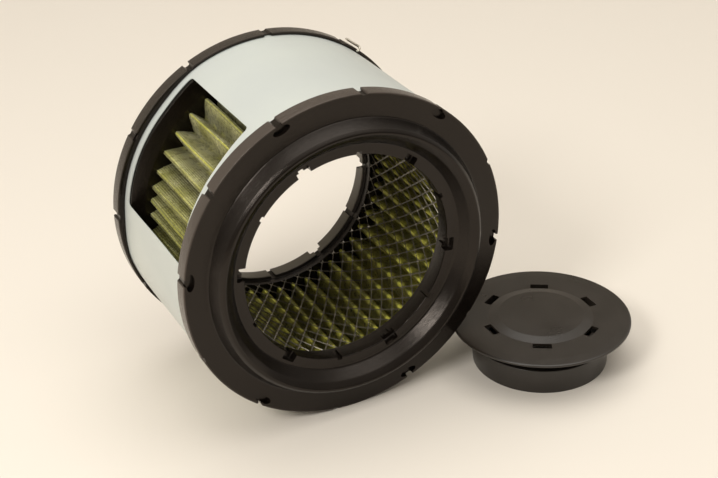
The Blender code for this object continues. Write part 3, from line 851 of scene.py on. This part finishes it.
def wire_screen(name, node, pack, side, material):
    """Wire cloth laid on one face of the gauze: wires along the pleats and across."""
    verts = []
    faces = []
    lie = side * (GAUZE / 2.0 + WIRE_R * 0.7)
    for place in pack.places(WIRE_PITCH):
        points = [pack.at(place, row, lie + side * WIRE_R) for row in range(PLEAT_ROWS)]
        centres = [point for point, normal in points]
        normals = [normal * side for point, normal in points]
        across = [Vector((-normal.z, 0.0, normal.x)) for normal in normals]
        tube_into(verts, faces, centres, normals, across, WIRE_R)
    along = Vector((0.0, 1.0, 0.0))
    first = pack.y[0] + WIRE_PITCH / 2.0
    number = int((pack.y[-1] - first) / WIRE_PITCH)
    for wire in range(number):
        y = first + wire * WIRE_PITCH
        points = [pack.between(place, y, lie) for place in range(pack.count)]
        centres = [point for point, normal in points]
        normals = [normal * side for point, normal in points]
        tube_into(verts, faces, centres, normals, [along] * pack.count, WIRE_R, closed=True)
    mesh = bpy.data.meshes.new(name)
    mesh.from_pydata(verts, [], faces)
    return new_piece(name, mesh, material, "element", (node,))


def seam_strip(material):
    """Folded strip that closes the pack, crimped over one pleat's tip."""
    tip = tip_angle(SEAM_PLEAT)
    axis = Vector((math.cos(tip), 0.0, math.sin(tip)))
    across = Vector((-math.sin(tip), 0.0, math.cos(tip)))
    top = TIP_R + 2.3 * MM
    low = top - 5.4 * MM
    wall = 0.45 * MM
    slopes = []
    for fold in (fold_angle(SEAM_PLEAT), fold_angle(SEAM_PLEAT + 1)):
        drop = TIP_R - FOLD_R * math.cos(fold - tip)
        slopes.append(FOLD_R * math.sin(fold - tip) / drop)
    reach = top - low
    bulge = 1.5 * MM
    section = [
        (low, slopes[0] * reach - bulge - wall, 0.0), (low, slopes[0] * reach - bulge, 0.0),
        (top - wall, -bulge * 0.7, 0.7 * MM), (top - wall, bulge * 0.7, 0.7 * MM),
        (low, slopes[1] * reach + bulge, 0.0), (low, slopes[1] * reach + bulge + wall, 0.0),
        (top, bulge * 0.7 + wall, 1.0 * MM), (top, -bulge * 0.7 - wall, 1.0 * MM)]
    outline = filleted(section, steps=4)
    bm = bmesh.new()
    ends = []
    for y in (POTTING_HIGH - 1.0 * MM, LENGTH - POTTING_HIGH + 1.0 * MM):
        base = polar(0.0, 0.0, y)
        ends.append([bm.verts.new(base + axis * point.x + across * point.y) for point in outline])
    front, rear = ends
    count = len(outline)
    for index in range(count):
        after = (index + 1) % count
        bm.faces.new((front[index], front[after], rear[after], rear[index]))
    bm.faces.new(front)
    bm.faces.new(rear)
    return new_piece("seam_strip", mesh_of(bm), material, "element",
                     ("media_seam_clip",), sharp=40.0)


# ---- expanded metal cage --------------------------------------------------------
def cage(material):
    """Expanded metal: strands that zigzag along the tube and join side by side."""
    half = math.pi / CAGE_CELLS
    beside = STRAND_W * 0.48 / CAGE_R
    bond = 1.3 * MM
    y_front = RECESS_DEPTH - 0.5 * MM
    y_rear = LENGTH - RECESS_DEPTH + 0.5 * MM
    rows = int((y_rear - CAGE_FIRST) / (CAGE_PITCH / 2.0)) + 1
    verts = []
    faces = []
    for strand in range(2 * CAGE_CELLS):
        low_angle = CAGE_PHASE + strand * half + beside
        high_angle = CAGE_PHASE + (strand + 1) * half - beside
        route = []
        for row in range(rows + 1):
            y = CAGE_FIRST + row * CAGE_PITCH / 2.0
            low = (strand + row) % 2 == 0
            angle = low_angle if low else high_angle
            tilt = STRAND_TILT if low else -STRAND_TILT
            route.append((angle, y - bond / 2.0, tilt))
            route.append((angle, y + bond / 2.0, -tilt))
        route = trimmed(route, y_front, y_rear)
        centres = []
        firsts = []
        seconds = []
        for angle, y, tilt in route:
            out = Vector((math.cos(angle), 0.0, math.sin(angle)))
            side = Vector((-math.sin(angle), 0.0, math.cos(angle)))
            wide = side * math.cos(tilt) + out * math.sin(tilt)
            thick = out * math.cos(tilt) - side * math.sin(tilt)
            centres.append(polar(CAGE_R, angle, y))
            firsts.append(wide * STRAND_W / 2.0)
            seconds.append(thick * STRAND_T / 2.0)
        strand_into(verts, faces, centres, firsts, seconds)
    mesh = bpy.data.meshes.new("cage")
    mesh.from_pydata(verts, [], faces)
    return new_piece("cage", mesh, material, "element", ("inner_cage",), sharp=30.0)


def trimmed(route, low, high):
    """The part of a route of (angle, y, tilt), y rising, that lies from low to high."""
    result = []
    for (angle, y, _), (next_angle, next_y, next_tilt) in zip(route, route[1:]):
        for end in (low, high):
            if y < end < next_y:
                part = (end - y) / (next_y - y)
                result.append((angle + (next_angle - angle) * part, end, next_tilt))
        if low < next_y < high:
            result.append((next_angle, next_y, next_tilt))
    return result


def strand_into(verts, faces, centres, wides, thicks):
    """Adds a flat strip with a rectangular section."""
    start = len(verts)
    for centre, wide, thick in zip(centres, wides, thicks):
        verts.extend((centre + wide + thick, centre - wide + thick,
                      centre - wide - thick, centre + wide - thick))
    for index in range(len(centres) - 1):
        here = start + index * 4
        for side in range(4):
            after = (side + 1) % 4
            faces.append((here + side, here + after, here + 4 + after, here + 4 + side))
    last = start + (len(centres) - 1) * 4
    faces.append((start + 3, start + 2, start + 1, start))
    faces.append((last, last + 1, last + 2, last + 3))


# ---- wire clip ------------------------------------------------------------------
def wire_clip(material):
    curve = bpy.data.curves.new("wire_clip", "CURVE")
    curve.dimensions = "3D"
    spline = curve.splines.new("BEZIER")
    spline.bezier_points.add(len(CLIP_ROUTE) - 1)
    for target, (angle, y, radius) in zip(spline.bezier_points, CLIP_ROUTE):
        target.co = polar(radius, math.radians(angle), y)
        target.handle_left_type = "AUTO"
        target.handle_right_type = "AUTO"
    spline.resolution_u = 8
    curve.bevel_depth = CLIP_WIRE_R
    curve.bevel_resolution = 5
    curve.use_fill_caps = True
    shape = bpy.data.objects.new("clip_route", curve)
    bpy.context.scene.collection.objects.link(shape)
    bpy.context.view_layer.update()
    graph = bpy.context.evaluated_depsgraph_get()
    mesh = bpy.data.meshes.new_from_object(shape.evaluated_get(graph))
    bpy.data.objects.remove(shape)
    return new_piece("wire_clip", mesh, material, "element", ("rim_wire_clip",), sharp=60.0)


# ---- cap ------------------------------------------------------------------------
def clip_frame(index):
    angle = CLIP_PHASE + index * math.tau / CLIPS
    return Matrix.Translation(cap_polar(0.0, 0.0, 0.0)) @ Matrix.Rotation(angle, 4, "Z")


def prism_into(bm, axes, section, width):
    """A section in the axes' X and Z, as wide as asked along their Y."""
    ends = []
    for y in (-width / 2.0, width / 2.0):
        ends.append([bm.verts.new(axes @ Vector((x, y, z))) for x, z in section])
    front, rear = ends
    count = len(section)
    for index in range(count):
        after = (index + 1) % count
        bm.faces.new((front[index], front[after], rear[after], rear[index]))
    bm.faces.new(front)
    bm.faces.new(rear)


def cap_disc(material):
    """Flange with a raised middle, six slots, the neck ring and small ribs."""
    flange = CAP_EDGE_Z + 0.9 * MM
    dome = flange + DOME_RISE
    under = CAP_EDGE_Z - CAP_WALL / 2.0
    corners = [
        (0.0, dome + 0.45 * MM, 0.0),
        (DOME_R * 0.6, dome + 0.2 * MM, 20.0 * MM),
        (DOME_R - 5.0 * MM, dome - 0.1 * MM, 6.0 * MM),
        (DOME_R + 1.2 * MM, flange, 3.0 * MM),
        (CAP_R - 7.0 * MM, flange - 0.15 * MM, 12.0 * MM),
        (CAP_R - 0.9 * MM, CAP_EDGE_Z + 0.5 * MM, 0.8 * MM),
        (CAP_R, CAP_EDGE_Z + 0.1 * MM, 0.5 * MM),
        (CAP_R - 0.1 * MM, under - 0.35 * MM, 0.4 * MM),
        (CAP_R - 1.4 * MM, under - 0.35 * MM, 0.4 * MM),
        (CAP_R - 2.2 * MM, under, 0.4 * MM),
        (HUB_OUT_R, under, 0.5 * MM),
        (HUB_OUT_R, COLLAR_H + 0.3 * MM, 0.3 * MM),
        (HUB_IN_R, COLLAR_H + 0.3 * MM, 0.3 * MM),
        (HUB_IN_R, under, 0.5 * MM),
        (DOME_R, under, 3.0 * MM),
        (DOME_R - 3.0 * MM, under + DOME_RISE, 3.0 * MM),
        (0.0, under + DOME_RISE, 0.0),
    ]
    mesh = lathe(filleted(corners, steps=6, closed=False), cap_polar, CAP_SEGMENTS, closed=False)
    slots = bmesh.new()
    ribs = bmesh.new()
    bite = 0.4 * MM
    rib = [(HUB_OUT_R - bite, under + bite), (47.0 * MM, under + bite), (47.0 * MM, under),
           (HUB_OUT_R - bite, under - 7.0 * MM)]
    for index in range(CLIPS):
        box_into(slots, clip_frame(index),
                 (SLOT_R - SLOT_WIDE / 2.0, -SLOT_LONG / 2.0, COLLAR_H + 4.0 * MM),
                 (SLOT_R + SLOT_WIDE / 2.0, SLOT_LONG / 2.0, CAP_EDGE_Z + 8.0 * MM), 0.6 * MM)
        prism_into(ribs, clip_frame(index), rib, 1.4 * MM)
    mesh = carved(mesh, [mesh_of(slots)])
    mesh = carved(mesh, [mesh_of(ribs)], "UNION")
    return new_piece("disc", mesh, material, "cap", ("cap_disc",), sharp=32.0)


def cap_collar(material):
    """Standing ring, its inner ledge and the six snap tabs."""
    inner = COLLAR_R - COLLAR_WALL
    ledge = 2.2 * MM
    ledge_in = SLOT_R - TAB_THICK - 1.6 * MM
    corners = [
        (COLLAR_R - 0.35 * MM, 0.0, 0.5 * MM),
        (COLLAR_R, COLLAR_H * 0.5, 30.0 * MM),
        (COLLAR_R, COLLAR_H, 0.7 * MM),
        (ledge_in, COLLAR_H, 0.5 * MM),
        (ledge_in, COLLAR_H - ledge, 0.5 * MM),
        (inner, COLLAR_H - ledge, 0.6 * MM),
        (inner, 0.0, 0.4 * MM),
    ]
    mesh = lathe(filleted(corners, steps=5), cap_polar, CAP_SEGMENTS)
    foot = COLLAR_H - ledge * 0.5
    top = DISC_HIGH.z - 5.6 * MM
    start = SLOT_R - TAB_THICK
    section = filleted([
        (start, foot, 0.0), (SLOT_R, foot, 0.0), (SLOT_R, top - 3.2 * MM, 0.3 * MM),
        (SLOT_R + 1.1 * MM, top - 2.2 * MM, 0.3 * MM), (SLOT_R, top, 0.5 * MM),
        (start, top, 0.4 * MM)], steps=4)
    tabs = bmesh.new()
    for index in range(CLIPS):
        prism_into(tabs, clip_frame(index), section, TAB_LONG)
    mesh = carved(mesh, [mesh_of(tabs)], "UNION")
    return new_piece("collar", mesh, material, "cap", ("cap_collar",), sharp=32.0)


# ---- stage ----------------------------------------------------------------------
def floor():
    """A pale floor that turns up into a backdrop far behind."""
    material = bpy.data.materials.new("studio_paper")
    material.use_nodes = True
    shader = material.node_tree.nodes["Principled BSDF"]
    shader.inputs["Base Color"].default_value = FLOOR_COLOUR
    shader.inputs["Roughness"].default_value = 0.75
    shader.inputs["Specular IOR Level"].default_value = 0.25
    profile = filleted([(-3.0, 0.0, 0.0), (2.6, 0.0, 1.2), (2.6, 3.2, 0.0)], steps=16, closed=False)
    mesh = bpy.data.meshes.new("floor")
    verts = []
    for x in (-4.0, 4.0):
        verts.extend((x, point.x, point.y) for point in profile)
    count = len(profile)
    faces = [(i, i + count, i + count + 1, i + 1) for i in range(count - 1)]
    mesh.from_pydata(verts, [], faces)
    mesh.materials.append(material)
    mesh.shade_smooth()
    obj = bpy.data.objects.new("floor", mesh)
    bpy.context.scene.collection.objects.link(obj)


def area_light(name, direction, distance, size, power, colour):
    """A soft square light that shines at the object from a direction."""
    light = bpy.data.lights.new(name, "AREA")
    light.shape = "RECTANGLE"
    light.size, light.size_y = size
    light.energy = power
    light.color = colour
    obj = bpy.data.objects.new(name, light)
    bpy.context.scene.collection.objects.link(obj)
    towards = Vector(direction).normalized()
    aim = Vector((0.0, 0.0, 0.08))
    obj.location = aim + towards * distance
    obj.rotation_euler = towards.to_track_quat("Z", "Y").to_euler()


def surroundings():
    """A pale room, darker behind the camera than behind and above the object."""
    world = bpy.data.worlds.new("studio")
    bpy.context.scene.world = world
    world.use_nodes = True
    tree = world.node_tree
    direction = tree.nodes.new("ShaderNodeTexCoord").outputs["Generated"]
    parts = tree.nodes.new("ShaderNodeSeparateXYZ")
    tree.links.new(direction, parts.inputs["Vector"])
    lean = tree.nodes.new("ShaderNodeMath")
    lean.operation = "MULTIPLY_ADD"
    lean.inputs[1].default_value = 0.9
    tree.links.new(parts.outputs["Y"], lean.inputs[0])
    tree.links.new(parts.outputs["Z"], lean.inputs[2])
    strength = tree.nodes.new("ShaderNodeMapRange")
    strength.inputs["From Min"].default_value = -0.7
    strength.inputs["From Max"].default_value = 1.1
    strength.inputs["To Min"].default_value = ROOM_DIM
    strength.inputs["To Max"].default_value = ROOM_BRIGHT
    tree.links.new(lean.outputs["Value"], strength.inputs["Value"])
    backdrop = tree.nodes["Background"]
    backdrop.inputs["Color"].default_value = ROOM_COLOUR
    tree.links.new(strength.outputs["Result"], backdrop.inputs["Strength"])


def lights():
    surroundings()
    area_light("key", (-0.68, -0.37, 0.63), 1.5, (0.38, 0.38), 10.5, (1.0, 0.97, 0.92))
    area_light("top", (0.10, 0.04, 1.0), 1.8, (2.4, 1.6), 17.0, (1.0, 0.98, 0.94))


def camera():
    data = bpy.data.cameras.new("camera")
    data.sensor_width = 36.0
    data.lens = CAMERA_LENS
    data.clip_start = 0.01
    data.clip_end = 50.0
    obj = bpy.data.objects.new("camera", data)
    bpy.context.scene.collection.objects.link(obj)
    bpy.context.scene.camera = obj
    aim = Vector((AXIS_X, FRONT_Y, AXIS_Z)) + CAMERA_AIM
    back = Vector((
        math.sin(CAMERA_AZIMUTH) * math.cos(CAMERA_ELEVATION),
        -math.cos(CAMERA_AZIMUTH) * math.cos(CAMERA_ELEVATION),
        math.sin(CAMERA_ELEVATION)))
    obj.location = aim + back * CAMERA_DISTANCE
    level = back.to_track_quat("Z", "Y").to_matrix()
    obj.rotation_euler = (level @ Matrix.Rotation(CAMERA_ROLL, 3, "Z")).to_euler()


def build():
    moulding = ring_material()
    black = cap_material()
    end_ring("front_ring", "front_end_ring", 0.0, 1.0, FRONT_NOTCH_PHASE, FRONT_RIM_WIDTH, moulding)
    end_ring("rear_ring", "rear_end_ring", LENGTH, -1.0, REAR_NOTCH_PHASE, RIM_WIDTH, moulding)
    outer_shell(sheet_material())
    pack = Pack(POTTING_LOW - 0.8 * MM, LENGTH - POTTING_LOW + 0.8 * MM)
    gauze(pack, gauze_material())
    outer_wire = screen_material("outer_screen_wire", (0.40, 0.39, 0.14), (0.86, 0.84, 0.56), 0.6)
    inner_wire = screen_material("inner_screen_wire", (0.30, 0.28, 0.070), (0.64, 0.60, 0.18), 1.0)
    wire_screen("outer_screen", "outer_wire_screen", pack, 1.0, outer_wire)
    wire_screen("inner_screen", "inner_wire_screen", pack, -1.0, inner_wire)
    seam_strip(bright_metal("seam_strip", (0.40, 0.40, 0.38), (0.58, 0.58, 0.55)))
    cage(cage_material())
    wire_clip(bright_metal("clip_wire", (0.56, 0.53, 0.46), (0.80, 0.77, 0.70)))
    cap_disc(black)
    cap_collar(black)


build()
floor()
lights()
camera()
bpy.context.scene.view_settings.view_transform = "Standard"
